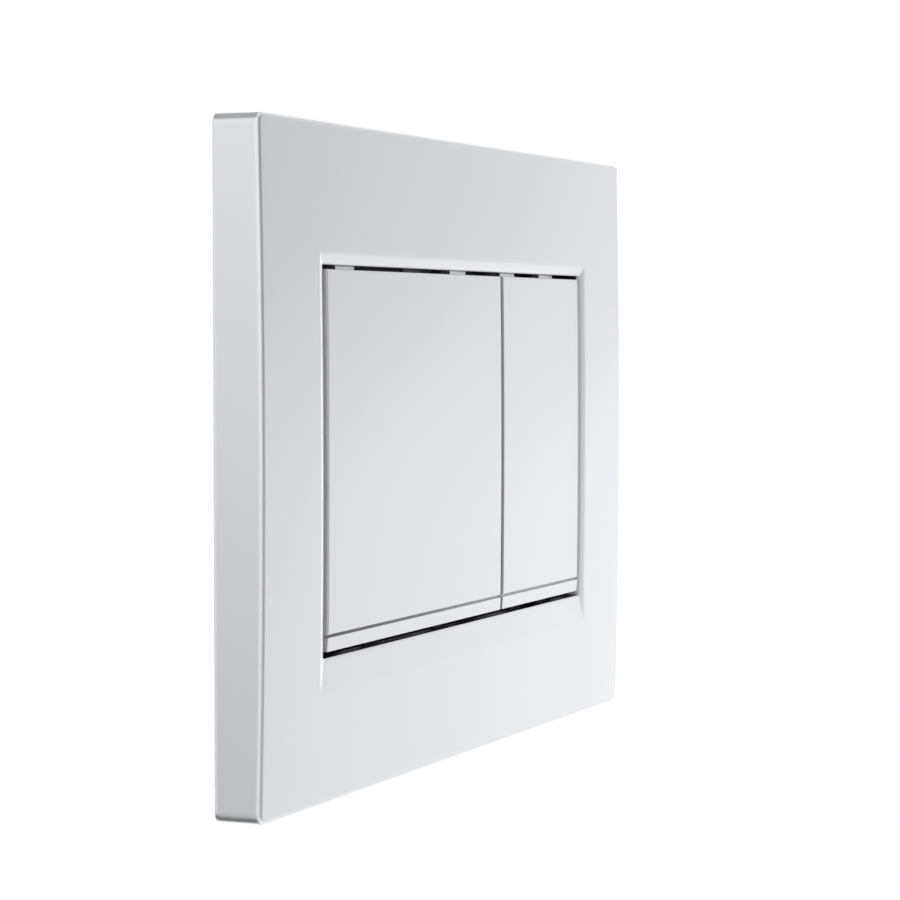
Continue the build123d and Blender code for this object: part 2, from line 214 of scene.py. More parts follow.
class SharedGroup:
    """A shader node group that is built once and placed in each material that uses it."""

    NAME = ""
    INPUTS: dict[str, float] = {}

    @classmethod
    def place(cls, wiring: Wiring, inputs: Inputs) -> Node:
        """Places the group in a material.

        Args:
            wiring: The material's wiring.
            inputs: What the group's inputs get, by name.

        Returns:
            The group's node.
        """
        node = wiring.add("Group", {})
        node.node_tree = bpy.data.node_groups.get(cls.NAME) or cls._build()
        return wiring.feed(node, inputs)

    @classmethod
    def _build(cls) -> NodeTree:
        """Builds the group with its sockets.

        Returns:
            The group.
        """
        tree = bpy.data.node_groups.new(cls.NAME, "ShaderNodeTree")
        face = tree.interface
        face.new_socket("Vector", in_out="INPUT", socket_type="NodeSocketVector")
        for name, value in cls.INPUTS.items():
            socket = face.new_socket(name, in_out="INPUT", socket_type="NodeSocketFloat")
            socket.default_value = value
        wiring = Wiring(tree)
        results = cls._wire(wiring, tree.nodes.new("NodeGroupInput").outputs)
        for name in results:
            face.new_socket(name, in_out="OUTPUT", socket_type="NodeSocketFloat")
        wiring.feed(tree.nodes.new("NodeGroupOutput"), results)
        return tree

    @classmethod
    def _wire(cls, wiring: Wiring, given: Sockets) -> Inputs:
        """Adds the group's own nodes.

        Args:
            wiring: The group's wiring.
            given: The group's inputs, by name.

        Returns:
            The group's outputs, by name.
        """
        raise NotImplementedError


class FineGrain(SharedGroup):
    """The fine, even grain of moulded and plated surfaces, with faint clouds."""

    NAME = "fine_grain"
    INPUTS = {"Grain Scale": 2200.0, "Roughness": 0.3, "Spread": 0.04}
    GRAIN_DETAIL = 2.0
    CLOUD_SCALE = 34.0
    CLOUD_DETAIL = 3.0
    CLOUD_MEAN = 0.5
    CLOUD_EDGES = (0.36, 0.64)

    @classmethod
    def _wire(cls, wiring: Wiring, given: Sockets) -> Inputs:
        """Adds two sizes of noise, which give a height, a roughness and a cloudy mask.

        Args:
            wiring: The group's wiring.
            given: The group's inputs, by name.

        Returns:
            The group's outputs, by name.
        """
        where = given["Vector"]
        grain = wiring.add(
            "TexNoise", {"Vector": where, "Scale": given["Grain Scale"], "Detail": cls.GRAIN_DETAIL}
        )
        noise = wiring.add(
            "TexNoise", {"Vector": where, "Scale": cls.CLOUD_SCALE, "Detail": cls.CLOUD_DETAIL}
        )
        cloud = noise.outputs["Fac"]
        swing = wiring.calc("SUBTRACT", cloud, cls.CLOUD_MEAN)
        spread = wiring.calc("MULTIPLY", swing, given["Spread"])
        return {
            "Height": grain.outputs["Fac"],
            "Roughness": wiring.calc("ADD", given["Roughness"], spread),
            "Cloud": wiring.ramp(cloud, *cls.CLOUD_EDGES),
        }

    @classmethod
    def lay(
        cls,
        wiring: Wiring,
        shader: Node,
        scale: float,
        roughness: float,
        depth: float,
        stretch: Triple = (1.0, 1.0, 1.0),
    ) -> tuple[Node, Node]:
        """Places the group in a material and feeds the shader's Roughness and Normal.

        Args:
            wiring: The material's wiring.
            shader: The material's Principled node.
            scale: Grains per metre.
            roughness: Mean roughness.
            depth: Depth of the grain in metres.
            stretch: Scale of the grain along each axis; a small number draws it out.

        Returns:
            The group's node and the Bump node, whose Normal input is still free.
        """
        drawn = wiring.add("Mapping", {"Vector": wiring.place(), "Scale": stretch})
        where = drawn.outputs["Vector"]
        inputs = {"Vector": where, "Grain Scale": scale, "Roughness": roughness}
        group = cls.place(wiring, inputs)
        bump = wiring.add("Bump", {"Distance": depth, "Height": group.outputs["Height"]})
        outputs = {"Roughness": group.outputs["Roughness"], "Normal": bump.outputs["Normal"]}
        wiring.feed(shader, outputs)
        return group, bump


class ShowDepth(SharedGroup):
    """Mask of the walls of gaps, which lie behind the bowed front and face sideways, where the
    plating is rougher and has painted shade.
    """

    NAME = "show_depth"
    APEX_Y = -12.75 * MM
    BOW_RADIUS = 3.2025
    WALL_DEPTH = 0.3 * MM
    WALL_TURN = 0.5
    WALL_REACH = 95.0 * MM

    @classmethod
    def _wire(cls, wiring: Wiring, given: Sockets) -> Inputs:
        """Adds the depth behind the front, the turn and the reach, which make the mask.

        Args:
            wiring: The group's wiring.
            given: The group's inputs, by name.

        Returns:
            The group's outputs, by name.
        """
        calc = wiring.calc
        axes = wiring.axes(given["Vector"])
        square = calc("MULTIPLY", axes["Z"], axes["Z"])
        sag = calc("MULTIPLY", square, 0.5 / cls.BOW_RADIUS)
        depth = calc("SUBTRACT", axes["Y"], calc("ADD", sag, cls.APEX_Y))
        turn = wiring.axes(wiring.add("NewGeometry", {}).outputs["True Normal"])
        behind = calc("GREATER_THAN", depth, cls.WALL_DEPTH)
        sideways = calc("GREATER_THAN", calc("ABSOLUTE", turn["X"]), cls.WALL_TURN)
        near = calc("LESS_THAN", calc("ABSOLUTE", axes["X"]), cls.WALL_REACH)
        return {"Gap Wall": calc("MULTIPLY", near, calc("MULTIPLY", behind, sideways))}


@dataclass(frozen=True)
class Box:
    """A box in the object's own coordinates, in metres."""

    low: Triple
    high: Triple

    def mask(self, wiring: Wiring, where: Socket) -> Socket:
        """Adds a mask of the box.

        Args:
            wiring: The material's wiring.
            where: Place of the shaded point.

        Returns:
            A socket that is 1 inside the box and 0 outside it.
        """
        inside: object = 1.0
        for socket, low, high in zip(wiring.axes(where), self.low, self.high):
            above = wiring.calc("GREATER_THAN", socket, low)
            below = wiring.calc("LESS_THAN", socket, high)
            between = wiring.calc("MULTIPLY", above, below)
            inside = wiring.calc("MULTIPLY", inside, between)
        return inside

    def across(self, wiring: Wiring, where: Socket) -> Socket:
        """Returns a ramp from 0 at the left end to 1 at the right end."""
        return wiring.ramp(wiring.axes(where)["X"], self.low[0], self.high[0])


@dataclass(frozen=True)
class SatinPlating:
    """Satin chrome plating: rougher with painted shade on gap walls and in grooves, and left off
    inside the bare boxes, some of which paint shade black.
    """

    name: str
    edge_radius: float
    bare: tuple[Box, ...]
    gap_shade_colour: Triple
    grooves: tuple[Box, ...] = ()
    groove_shade_ends: tuple[Triple, ...] = ()
    colour: Triple = (0.905, 0.912, 0.95)
    # Dark moulding colour for bare boxes, also painted as black shade on some plated walls of the
    # cover.
    moulding: Triple = (0.012, 0.012, 0.013)
    moulding_gloss: float = 0.2
    roughness: float = 0.32
    gap_roughness: float = 0.7
    grain_scale: float = 2600.0
    grain_depth: float = 0.0000012
    edge_samples: int = 8

    def material(self) -> Material:
        """Makes the finish.

        Returns:
            The material.
        """
        material, wiring, shader = Wiring.material(self.name)
        grain, bump = FineGrain.lay(
            wiring, shader, self.grain_scale, self.roughness, self.grain_depth
        )
        wiring.soften(bump, self.edge_radius, self.edge_samples)
        where = wiring.place()
        # Gap walls: a rougher finish, and a darker colour that is painted shade.
        shaded_rough_walls = ShowDepth.place(wiring, {"Vector": where}).outputs["Gap Wall"]
        plated = wiring.mix(shaded_rough_walls, self.colour, self.gap_shade_colour)
        # Grooves: painted shade that changes from the left end to the right end, and a rougher
        # finish.
        for box in self.grooves:
            inside = box.mask(wiring, where)
            shaded_rough_walls = wiring.calc("MAXIMUM", shaded_rough_walls, inside)
            tone = wiring.mix(box.across(wiring, where), *self.groove_shade_ends)
            plated = wiring.mix(inside, plated, tone)
        # Bare boxes take the moulding colour; on the cover two of them are painted shade on plated
        # walls.
        bare: object = 0.0
        for box in self.bare:
            bare = wiring.calc("MAXIMUM", bare, box.mask(wiring, where))
        satin = grain.outputs["Roughness"]
        inputs = {
            "Base Color": wiring.mix(bare, plated, self.moulding),
            "Roughness": wiring.mix(shaded_rough_walls, satin, self.gap_roughness, MixKind.FLOAT),
            "Metallic": wiring.calc("SUBTRACT", 1.0, bare),
            "Specular IOR Level": self.moulding_gloss,
        }
        wiring.feed(shader, inputs)
        return material


@dataclass(frozen=True)
class MouldedPlastic:
    """Moulded plastic or rubber with a fine grain, faint clouds of a tint and eased edges."""

    name: str
    colour: Triple
    tint: Triple
    roughness: float = 0.5
    grain_scale: float = 1500.0
    grain_depth: float = 0.000012
    edge_radius: float = 0.2 * MM
    edge_samples: int = 4

    def material(self) -> Material:
        """Makes the finish.

        Returns:
            The material.
        """
        material, wiring, shader = Wiring.material(self.name)
        grain, bump = FineGrain.lay(
            wiring, shader, self.grain_scale, self.roughness, self.grain_depth
        )
        wiring.soften(bump, self.edge_radius, self.edge_samples)
        tone = wiring.mix(grain.outputs["Cloud"], self.colour, self.tint)
        wiring.feed(shader, {"Base Color": tone})
        return material


@dataclass(frozen=True)
class BareMetal:
    """Bare or thinly plated metal with a fine grain, drawn out where it was rolled or drawn."""

    name: str
    colour: Triple
    tint: Triple
    roughness: float = 0.32
    stretch: Triple = (1.0, 1.0, 1.0)
    grain_scale: float = 900.0
    grain_depth: float = 0.000006

    def material(self) -> Material:
        """Makes the finish.

        Returns:
            The material.
        """
        material, wiring, shader = Wiring.material(self.name)
        grain, _ = FineGrain.lay(
            wiring, shader, self.grain_scale, self.roughness, self.grain_depth, self.stretch
        )
        tone = wiring.mix(grain.outputs["Cloud"], self.colour, self.tint)
        wiring.feed(shader, {"Base Color": tone, "Metallic": 1.0})
        return material


def dress(node: str, material: Material) -> None:
    """Gives a CAD node its finish.

    Args:
        node: Name of the node.
        material: The finish.
    """
    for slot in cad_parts[node].material_slots:
        slot.material = material
    LOG.info("dressed %s", node)


@dataclass
class CoverPlate:
    """The bowed cover with its dish and opening."""

    node: str = "cover_frame"
    wall: float = 1.5 * MM
    half_opening: tuple[float, float] = (88.9 * MM, 47.9 * MM)
    collar_back: float = -8.1 * MM
    edge_radius: float = 1.5 * MM
    # Painted shade: the collar's foot wall and the top slit's end wall are painted black.
    shaded_foot_wall: tuple[float, float] = (-11.5 * MM, -46.9 * MM)
    shaded_slit_end: Triple = (88.5 * MM, -10.7 * MM, 46.7 * MM)
    # Painted shade colour for the walls of the opening's gaps.
    gap_shade_colour: Triple = (0.9, 0.9, 0.93)

    def finish(self) -> SatinPlating:
        """Plates the outside and the collar round the opening, and leaves the inside bare; the
        collar's foot wall and the slit's end wall get the black moulding colour as painted shade.

        Returns:
            The finish.
        """
        low, high = (Vector(corner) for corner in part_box(self.node))
        low_x, low_z = low.x + self.wall, low.z + self.wall
        high_x, high_z = high.x - self.wall, high.z - self.wall
        half_x, half_z = (half + self.wall / 2 for half in self.half_opening)
        front = low.y + self.wall
        back = high.y + self.wall
        bare = (
            Box((low_x, front, half_z), (high_x, back, high_z)),
            Box((low_x, front, low_z), (high_x, back, -half_z)),
            Box((low_x, front, low_z), (-half_x, back, high_z)),
            Box((half_x, front, low_z), (high_x, back, high_z)),
            Box((low_x, self.collar_back, low_z), (high_x, back, high_z)),
            # Painted shade: plated collar walls given the black moulding colour.
            Box((low_x, self.shaded_foot_wall[0], low_z), (high_x, back, self.shaded_foot_wall[1])),
            Box(self.shaded_slit_end, (half_x, back, half_z)),
        )
        return SatinPlating("cover_satin_plating", self.edge_radius, bare, self.gap_shade_colour)

    def build(self) -> None:
        """Dresses the cover."""
        dress(self.node, self.finish().material())


@dataclass
class ButtonPair:
    """The wide and the narrow button."""

    nodes: tuple[str, str] = ("full_button", "half_button")
    skirt: float = 0.9 * MM
    face: float = 1.9 * MM
    top: float = 46.8 * MM
    foot: float = -45.5 * MM
    groove: tuple[float, float] = (-42.15 * MM, -41.45 * MM)
    groove_front: float = -11.9 * MM
    groove_back: float = -11.0 * MM
    margin: float = 0.05 * MM
    edge_radius: float = 0.4 * MM
    # Painted shade colours for each button's gap walls; the narrow button's walls are painted
    # darker.
    gap_shade_colours: tuple[Triple, Triple] = ((0.78, 0.78, 0.81), (0.56, 0.56, 0.59))
    # Painted shade along the grooves: the wide groove's left end, the ends that meet at the
    # divider, and the narrow groove's right end.
    groove_shade_colours: tuple[Triple, Triple, Triple] = (
        (0.44, 0.44, 0.47),
        (0.84, 0.84, 0.87),
        (0.8, 0.8, 0.83),
    )

    def finish(
        self, node: str, gap_shade_colour: Triple, groove_shade_ends: tuple[Triple, ...]
    ) -> SatinPlating:
        """Plates one button and leaves the moulding behind its face bare.

        Args:
            node: Name of the button's node.
            gap_shade_colour: Painted shade colour of the plating on the walls of its gaps.
            groove_shade_ends: Painted shade colours at the two ends of the groove above its lip.

        Returns:
            The finish.
        """
        low, high = (Vector(corner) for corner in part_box(node))
        left, right = low.x - self.skirt, high.x + self.skirt
        back = high.y + self.skirt
        bare = (
            Box(
                (low.x + self.skirt, low.y + self.face, self.foot + self.skirt),
                (high.x - self.skirt, back, self.top - self.skirt),
            ),
            Box((left, low.y, low.z - self.skirt), (right, back, self.foot - self.margin)),
        )
        groove = Box(
            (left, self.groove_front, self.groove[0]), (right, self.groove_back, self.groove[1])
        )
        return SatinPlating(
            f"{node}_satin_plating", self.edge_radius, bare, gap_shade_colour, (groove,), groove_shade_ends
        )

    def build(self) -> None:
        """Dresses both buttons."""
        ends = zip(self.groove_shade_colours, self.groove_shade_colours[1:])
        for node, gap_shade_colour, groove_shade_ends in zip(self.nodes, self.gap_shade_colours, ends):
            dress(node, self.finish(node, gap_shade_colour, groove_shade_ends).material())


class Pick(str, Enum):
    """Kinds of mesh part that can be selected."""

    VERTEX = "VERT"
    EDGE = "EDGE"
    FACE = "FACE"


class Keep(str, Enum):
    """Which part of a piece a cutting tool leaves."""

    OUTSIDE = "DIFFERENCE"
    INSIDE = "INTERSECT"


class Spin(Enum):
    """Axes that a turned piece is spun about."""

    X = (1.0, 0.0, 0.0)
    Y = (0.0, 1.0, 0.0)

    def point(self, middle: Sequence[float], radius: float, along: float) -> Vector:
        """Places one point of a turned piece's outline.

        Args:
            middle: A point on the axis.
            radius: Distance from the axis.
            along: Place along the axis.

        Returns:
            The point, in metres.
        """
        if self is Spin.X:
            return Vector((along, middle[1], middle[2] + radius))
        return Vector((middle[0] + radius, along, middle[2]))


@dataclass(frozen=True)
class Blank:
    """The name of a piece and the box of the node that it stands in for."""

    name: str
    low: Vector
    high: Vector

    @property
    def middle(self) -> Triple:
        """Returns the middle of the box."""
        return tuple((low + high) / 2 for low, high in zip(self.low, self.high))

    @property
    def axis(self) -> Triple:
        """Returns the point at Y = 0 of the middle line along Y."""
        return (self.middle[0], 0.0, self.middle[2])


class Bench:
    """Modelling moves that the small pieces share."""

    SHARP_DEG = 38.0

    @staticmethod
    def start(
        name: str,
        primitive: Callable[..., set[str]],
        scale: Sequence[float] = (1.0, 1.0, 1.0),
        **values: object,
    ) -> Piece:
        """Adds a primitive and puts its place, turn and size in its mesh.

        Args:
            name: Name of the new piece.
            primitive: Operator that adds it.
            scale: Size along each axis.
            values: Settings of the operator.

        Returns:
            The piece.
        """
        bpy.ops.object.select_all(action="DESELECT")
        primitive(**values)
        piece = bpy.context.object
        piece.name = name
        piece.scale = scale
        bpy.ops.object.transform_apply(location=True, rotation=True, scale=True)
        return piece

    @staticmethod
    def hold(piece: Piece) -> None:
        """Selects one piece alone and makes it active.

        Args:
            piece: The piece.
        """
        bpy.ops.object.select_all(action="DESELECT")
        piece.select_set(True)
        bpy.context.view_layer.objects.active = piece

    @staticmethod
    def pick(piece: Piece, kind: Pick, test: Callable[[Vector], bool]) -> None:
        """Selects parts of a mesh in edit mode by the place of their middle.

        Args:
            piece: The piece in edit mode.
            kind: Vertices, edges or faces.
            test: Says whether a middle is wanted.
        """
        bpy.ops.mesh.select_mode(type=kind.value)
        bpy.ops.mesh.select_all(action="DESELECT")
        shape = bmesh.from_edit_mesh(piece.data)
        parts = {Pick.VERTEX: shape.verts, Pick.EDGE: shape.edges, Pick.FACE: shape.faces}
        for part in parts[kind]:
            corners = [part] if kind is Pick.VERTEX else part.verts
            total = sum((corner.co for corner in corners), Vector())
            part.select = test(total / len(corners))
        shape.select_flush_mode()
        bmesh.update_edit_mesh(piece.data)

    @classmethod
    def draw(cls, name: str, points: Sequence[Vector]) -> Piece:
        """Draws an outline from one vertex on and stays in edit mode.

        Args:
            name: Name of the new piece.
            points: The outline.

        Returns:
            The piece.
        """
        piece = cls.start(name, bpy.ops.mesh.primitive_plane_add, size=MM)
        bpy.ops.object.mode_set(mode="EDIT")
        bpy.ops.mesh.select_mode(type=Pick.VERTEX.value)
        bpy.ops.mesh.select_all(action="SELECT")
        bpy.ops.mesh.merge(type="CENTER")
        bpy.ops.transform.translate(value=points[0])
        for here, there in zip(points, points[1:]):
            bpy.ops.mesh.extrude_vertices_move(TRANSFORM_OT_translate={"value": there - here})
        return piece

    @staticmethod
    def push(shift: Sequence[float]) -> None:
        """Extrudes what is selected.

        Args:
            shift: How far it is moved.
        """
        bpy.ops.mesh.extrude_region_move(TRANSFORM_OT_translate={"value": shift})

    @staticmethod
    def bisect(point: Triple, normal: Triple, **values: object) -> None:
        """Cuts the whole mesh in edit mode along a plane.

        Args:
            point: A point on the plane.
            normal: The plane's normal.
            values: Settings of the operator.
        """
        bpy.ops.mesh.select_all(action="SELECT")
        bpy.ops.mesh.bisect(plane_co=point, plane_no=normal, **values)

    @staticmethod
    def merge() -> None:
        """Merges doubles in edit mode."""
        bpy.ops.mesh.select_all(action="SELECT")
        bpy.ops.mesh.remove_doubles(threshold=HAIR)

    @classmethod
    def close_up(cls) -> None:
        """Merges doubles, turns the faces outwards and leaves edit mode."""
        cls.merge()
        bpy.ops.mesh.normals_make_consistent(inside=False)
        bpy.ops.object.mode_set(mode="OBJECT")

    @classmethod
    def turned(
        cls, name: str, outline: Outline, axis: Spin, middle: Sequence[float], steps: int
    ) -> Piece:
        """Spins an outline into a round piece.

        Args:
            name: Name of the new piece.
            outline: Radius and place along the axis of each corner.
            axis: Axis of the spin.
            middle: A point on the axis.
            steps: Facets round the axis.

        Returns:
            The piece.
        """
        piece = cls.draw(name, [axis.point(middle, *corner) for corner in outline])
        bpy.ops.mesh.select_all(action="SELECT")
        bpy.ops.mesh.spin(steps=steps, angle=math.tau, center=middle, axis=axis.value)
        cls.close_up()
        return piece

    @classmethod
    def block(cls, name: str, low: Sequence[float], high: Sequence[float]) -> Piece:
        """Adds a block between two corners.

        Args:
            name: Name of the new piece.
            low: Lowest corner.
            high: Highest corner.

        Returns:
            The piece.
        """
        centre = [(a + b) / 2 for a, b in zip(low, high)]
        scale = [b - a for a, b in zip(low, high)]
        cube = bpy.ops.mesh.primitive_cube_add
        return cls.start(name, cube, scale, size=1.0, location=centre)

    @classmethod
    def round_corners(cls, piece: Piece, blank: Blank, width: float, segments: int) -> None:
        """Rounds the four edges of a block that run along Y, and stays in edit mode.

        Args:
            piece: The block.
            blank: Its box.
            width: Width of the rounding.
            segments: Facets across the rounding.
        """
        middle_x, _, middle_z = blank.middle
        edge_x, _, edge_z = (
            (high - low) / 2 - HAIR for low, high in zip(blank.low, blank.high)
        )
        bpy.ops.object.mode_set(mode="EDIT")
        cls.pick(
            piece,
            Pick.EDGE,
            lambda at: abs(at.x - middle_x) > edge_x and abs(at.z - middle_z) > edge_z,
        )
        bpy.ops.mesh.bevel(offset=width, segments=segments)

    @classmethod
    def modify(cls, piece: Piece, kind: str, **values: object) -> None:
        """Adds a modifier and applies it.

        Args:
            piece: The piece.
            kind: Type of the modifier.
            values: Its settings.
        """
        cls.hold(piece)
        modifier = piece.modifiers.new(kind.lower(), kind)
        for key, value in values.items():
            setattr(modifier, key, value)
        bpy.ops.object.modifier_apply(modifier=modifier.name)

    @classmethod
    def cut(cls, piece: Piece, tool: Piece, keep: Keep = Keep.OUTSIDE) -> None:
        """Cuts a piece with a tool, which is then thrown away.

        Args:
            piece: The piece.
            tool: The tool.
            keep: Which part of the piece stays.
        """
        cls.modify(piece, "BOOLEAN", operation=keep.value, solver="EXACT", object=tool)
        bpy.data.objects.remove(tool)

    @classmethod
    def ease(cls, piece: Piece, width: float, segments: int = 2) -> None:
        """Rounds the sharp edges.

        Args:
            piece: The piece.
            width: Width of the rounding.
            segments: Facets across the rounding.
        """
        sharp = {"limit_method": "ANGLE", "angle_limit": math.radians(cls.SHARP_DEG)}
        cls.modify(piece, "BEVEL", width=width, segments=segments, **sharp)

    @classmethod
    def copy(cls, piece: Piece, name: str, shift: Vector) -> Piece:
        """Copies a piece with its mesh.

        Args:
            piece: The piece.
            name: Name of the copy.
            shift: How far the copy is moved.

        Returns:
            The copy.
        """
        cls.hold(piece)
        bpy.ops.object.duplicate(linked=False)
        made = bpy.context.object
        made.name = name
        made.location = shift
        bpy.ops.object.transform_apply(location=True, rotation=False, scale=False)
        return made

    @classmethod
    def join(cls, pieces: Sequence[Piece]) -> Piece:
        """Joins pieces into the first of them.

        Args:
            pieces: The pieces.

        Returns:
            The joined piece.
        """
        cls.hold(pieces[0])
        for piece in pieces[1:]:
            piece.select_set(True)
        bpy.ops.object.join()
        return pieces[0]


@dataclass(frozen=True)
class HexBlock:
    """A hexagonal block along Y, whose corners are turned down at its front and back."""

    flats: float
    middle: Triple
    front: float
    back: float
    face_share: float = 0.97
    rim_share: float = 1.02
    corner_deg: float = 30.0
    overcut: float = 0.3 * MM
    facets: int = 72

    @property
    def radius(self) -> float:
        """Returns the distance of the corners from the axis."""
        return self.flats / math.sqrt(3.0)

    def build(self, name: str) -> Piece:
        """Adds the block.

        Args:
            name: Name of the new piece.

        Returns:
            The piece.
        """
        return Bench.start(
            name,
            bpy.ops.mesh.primitive_cylinder_add,
            vertices=6,
            radius=self.radius,
            depth=self.back - self.front,
            location=(self.middle[0], (self.front + self.back) / 2, self.middle[2]),
            rotation=(-math.pi / 2, math.pi / 6, 0.0),
        )

    def turn_corners(self, piece: Piece) -> None:
        """Turns the corners of the block down.

        Args:
            piece: The block.
        """
        flat = self.face_share * self.flats / 2
        rim = self.rim_share * self.radius
        rise = math.tan(math.radians(self.corner_deg))
        slope = (rim - flat) * rise
        small = flat - self.overcut / rise
        outline = (
            (0.0, self.front - self.overcut),
            (small, self.front - self.overcut),
            (rim, self.front + slope),
            (rim, self.back - slope),
            (small, self.back + self.overcut),
            (0.0, self.back + self.overcut),
        )
        lathe = Bench.turned(f"{piece.name}_lathe", outline, Spin.Y, self.middle, self.facets)
        Bench.cut(piece, lathe, Keep.INSIDE)


@dataclass(frozen=True)
class Seat:
    """Where a modelled piece belongs: the node it stands for, its body and its material slot."""

    node: str
    body: Body
    slot: str
    smooth_deg: float = 36.0

    def blank(self, name: str) -> Blank:
        """Returns the box of the node under the name of the new piece."""
        return Blank(name, *(Vector(corner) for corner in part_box(self.node)))

    def take(self, piece: Piece, material: Material, rides: bool = True) -> None:
        """Dresses a finished piece and puts it in the node's place.

        Args:
            piece: The piece.
            material: Its finish.
            rides: False leaves the piece on no body, as for a spring that bends between two bodies.
        """
        Bench.hold(piece)
        bpy.ops.object.shade_smooth_by_angle(angle=math.radians(self.smooth_deg))
        piece.data.materials.clear()
        piece.data.materials.append(material)
        if rides:
            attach(piece, self.body.value)
        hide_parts(self.node)
        LOG.info("modelled %s", piece.name)


def fill(
    seats: dict[str, Seat], maker: Callable[[Blank], Piece], finish: MouldedPlastic | BareMetal
) -> None:
    """Models a piece for the first seat, copies it to the others and dresses them all.

    Args:
        seats: Where the pieces belong, by their names.
        maker: Models the first piece.
        finish: Their finish.
    """
    material = finish.material()
    first, *others = (seat.blank(name) for name, seat in seats.items())
    model = maker(first)
    copies = [Bench.copy(model, other.name, other.low - first.low) for other in others]
    for seat, piece in zip(seats.values(), (model, *copies)):
        seat.take(piece, material)


@dataclass
class LeafSprings:
    """The leaf springs that hold the buttons out, and the rivets that hold the springs."""

    leaf: BareMetal = BareMetal(
        "spring_dull_steel", (0.30, 0.30, 0.32), (0.24, 0.24, 0.27), 0.38, (1.0, 1.0, 0.06)
    )
    plain: BareMetal = BareMetal(
        "rivet_plain_steel", (0.52, 0.52, 0.54), (0.42, 0.42, 0.45), 0.36
    )
    thickness: float = 0.5 * MM
    root_length: float = 20.0 * MM
    bend: float = 3.0 * MM
    knee_steps: int = 4
    tip_y: float = -9.8685 * MM
    tip_height: float = 14.2 * MM
    leaf_steps: int = 14
    curl: float = 4.5 * MM
    curl_turn: float = math.pi / 4
    curl_steps: int = 8
    end_steps: int = 2
    corner: float = 1.6 * MM
    corner_steps: int = 5
    corner_reach: float = 0.01 * MM
    edge: float = 0.07 * MM
    rivet_drop: float = 4.0 * MM
    rivet_hole: float = 1.52 * MM
    drill_length: float = 5.0 * MM
    drill_facets: int = 32
    peg_drop: float = 8.6 * MM
    peg_hole: tuple[float, float] = (3.1 * MM, 2.1 * MM)
    rivet_facets: int = 40
    rivet_outline_mm: tuple[tuple[float, float], ...] = (
        (0.0, -3.6),
        (0.9, -3.55),
        (1.7, -3.34),
        (2.25, -3.0),
        (2.5, -2.62),
        (2.5, -2.5),
        (1.5, -2.5),
        (1.5, -0.1),
        (0.0, -0.1),
    )

    def build(self) -> None:
        """Makes both springs and both rivets."""
        leaf, plain = self.leaf.material(), self.plain.material()
        outline = [(radius * MM, along * MM) for radius, along in self.rivet_outline_mm]
        rivets: list[tuple[Piece, Triple]] = []
        for body in (Body.FULL_BUTTON, Body.HALF_BUTTON):
            share = body.value.split("_")[0]
            seat = Seat(f"{share}_spring", body, "spring_steel")
            blank = seat.blank(f"{share}_leaf_spring")
            root = Vector((blank.middle[0], blank.high.y - self.thickness / 2, blank.high.z))
            spring = self._leaf(blank.name, root, blank.high.x - blank.low.x)
            seat.take(spring, leaf, rides=False)
            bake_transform(spring)
            name = f"{share}_spring_rivet"
            place = (root.x, 0.0, root.z - self.rivet_drop)
            if rivets:
                first, first_place = rivets[0]
                rivet = Bench.copy(first, name, Vector(place) - Vector(first_place))
            else:
                rivet = Bench.turned(name, outline, Spin.Y, place, self.rivet_facets)
            rivets.append((rivet, place))
            Seat("spring_rivets", Body.PLATE, "rivet_steel").take(rivet, plain)

    def _leaf(self, name: str, root: Vector, width: float) -> Piece:
        """Models one leaf spring: a plate with two holes, drawn out to its curled tip.

        Args:
            name: Name of the piece.
            root: Middle of the plate's top edge.
            width: Width of the strip.

        Returns:
            The piece.
        """
        knee = Vector((root.x, root.y, root.z - self.root_length))
        tip = Vector((root.x, self.tip_y, self.tip_height))
        lean = math.atan2(knee.y - tip.y, knee.z - tip.z)
        knee_cut = self.bend * math.tan(lean / 2)
        curl_cut = self.bend * math.tan((lean + self.curl_turn) / 2)
        foot_z = knee.z + knee_cut
        piece = self._root_plate(name, root, width, foot_z)
        Bench.pick(piece, Pick.EDGE, lambda at: at.z < foot_z + HAIR)
        centre = Vector((root.x, root.y - self.bend, foot_z))
        axis = Spin.X.value
        bpy.ops.mesh.spin(steps=self.knee_steps, angle=lean, center=centre, axis=axis)
        leaf = Vector((0.0, -math.sin(lean), -math.cos(lean)))
        run = (tip - knee).length - knee_cut - curl_cut
        for _ in range(self.leaf_steps):
            Bench.push(leaf * (run / self.leaf_steps))
        inward = Vector((0.0, math.cos(lean), -math.sin(lean)))
        centre = tip - leaf * curl_cut + inward * self.bend
        turn = -(lean + self.curl_turn)
        bpy.ops.mesh.spin(steps=self.curl_steps, angle=turn, center=centre, axis=axis)
        curl = Vector((0.0, self.curl, -self.curl))
        last = curl.normalized() * (curl.length - curl_cut)
        for _ in range(self.end_steps):
            Bench.push(last / self.end_steps)
        self._round_ends(piece, root, width)
        Bench.modify(piece, "SOLIDIFY", thickness=self.thickness, offset=0.0)
        place = (root.x, 0.0, root.z - self.rivet_drop)
        hole = self.rivet_hole
        outline = ((0.0, -self.drill_length), (hole, -self.drill_length), (hole, 0.0), (0.0, 0.0))
        drill = Bench.turned(f"{name}_drill", outline, Spin.Y, place, self.drill_facets)
        Bench.cut(piece, drill)
        Bench.ease(piece, self.edge)
        return piece

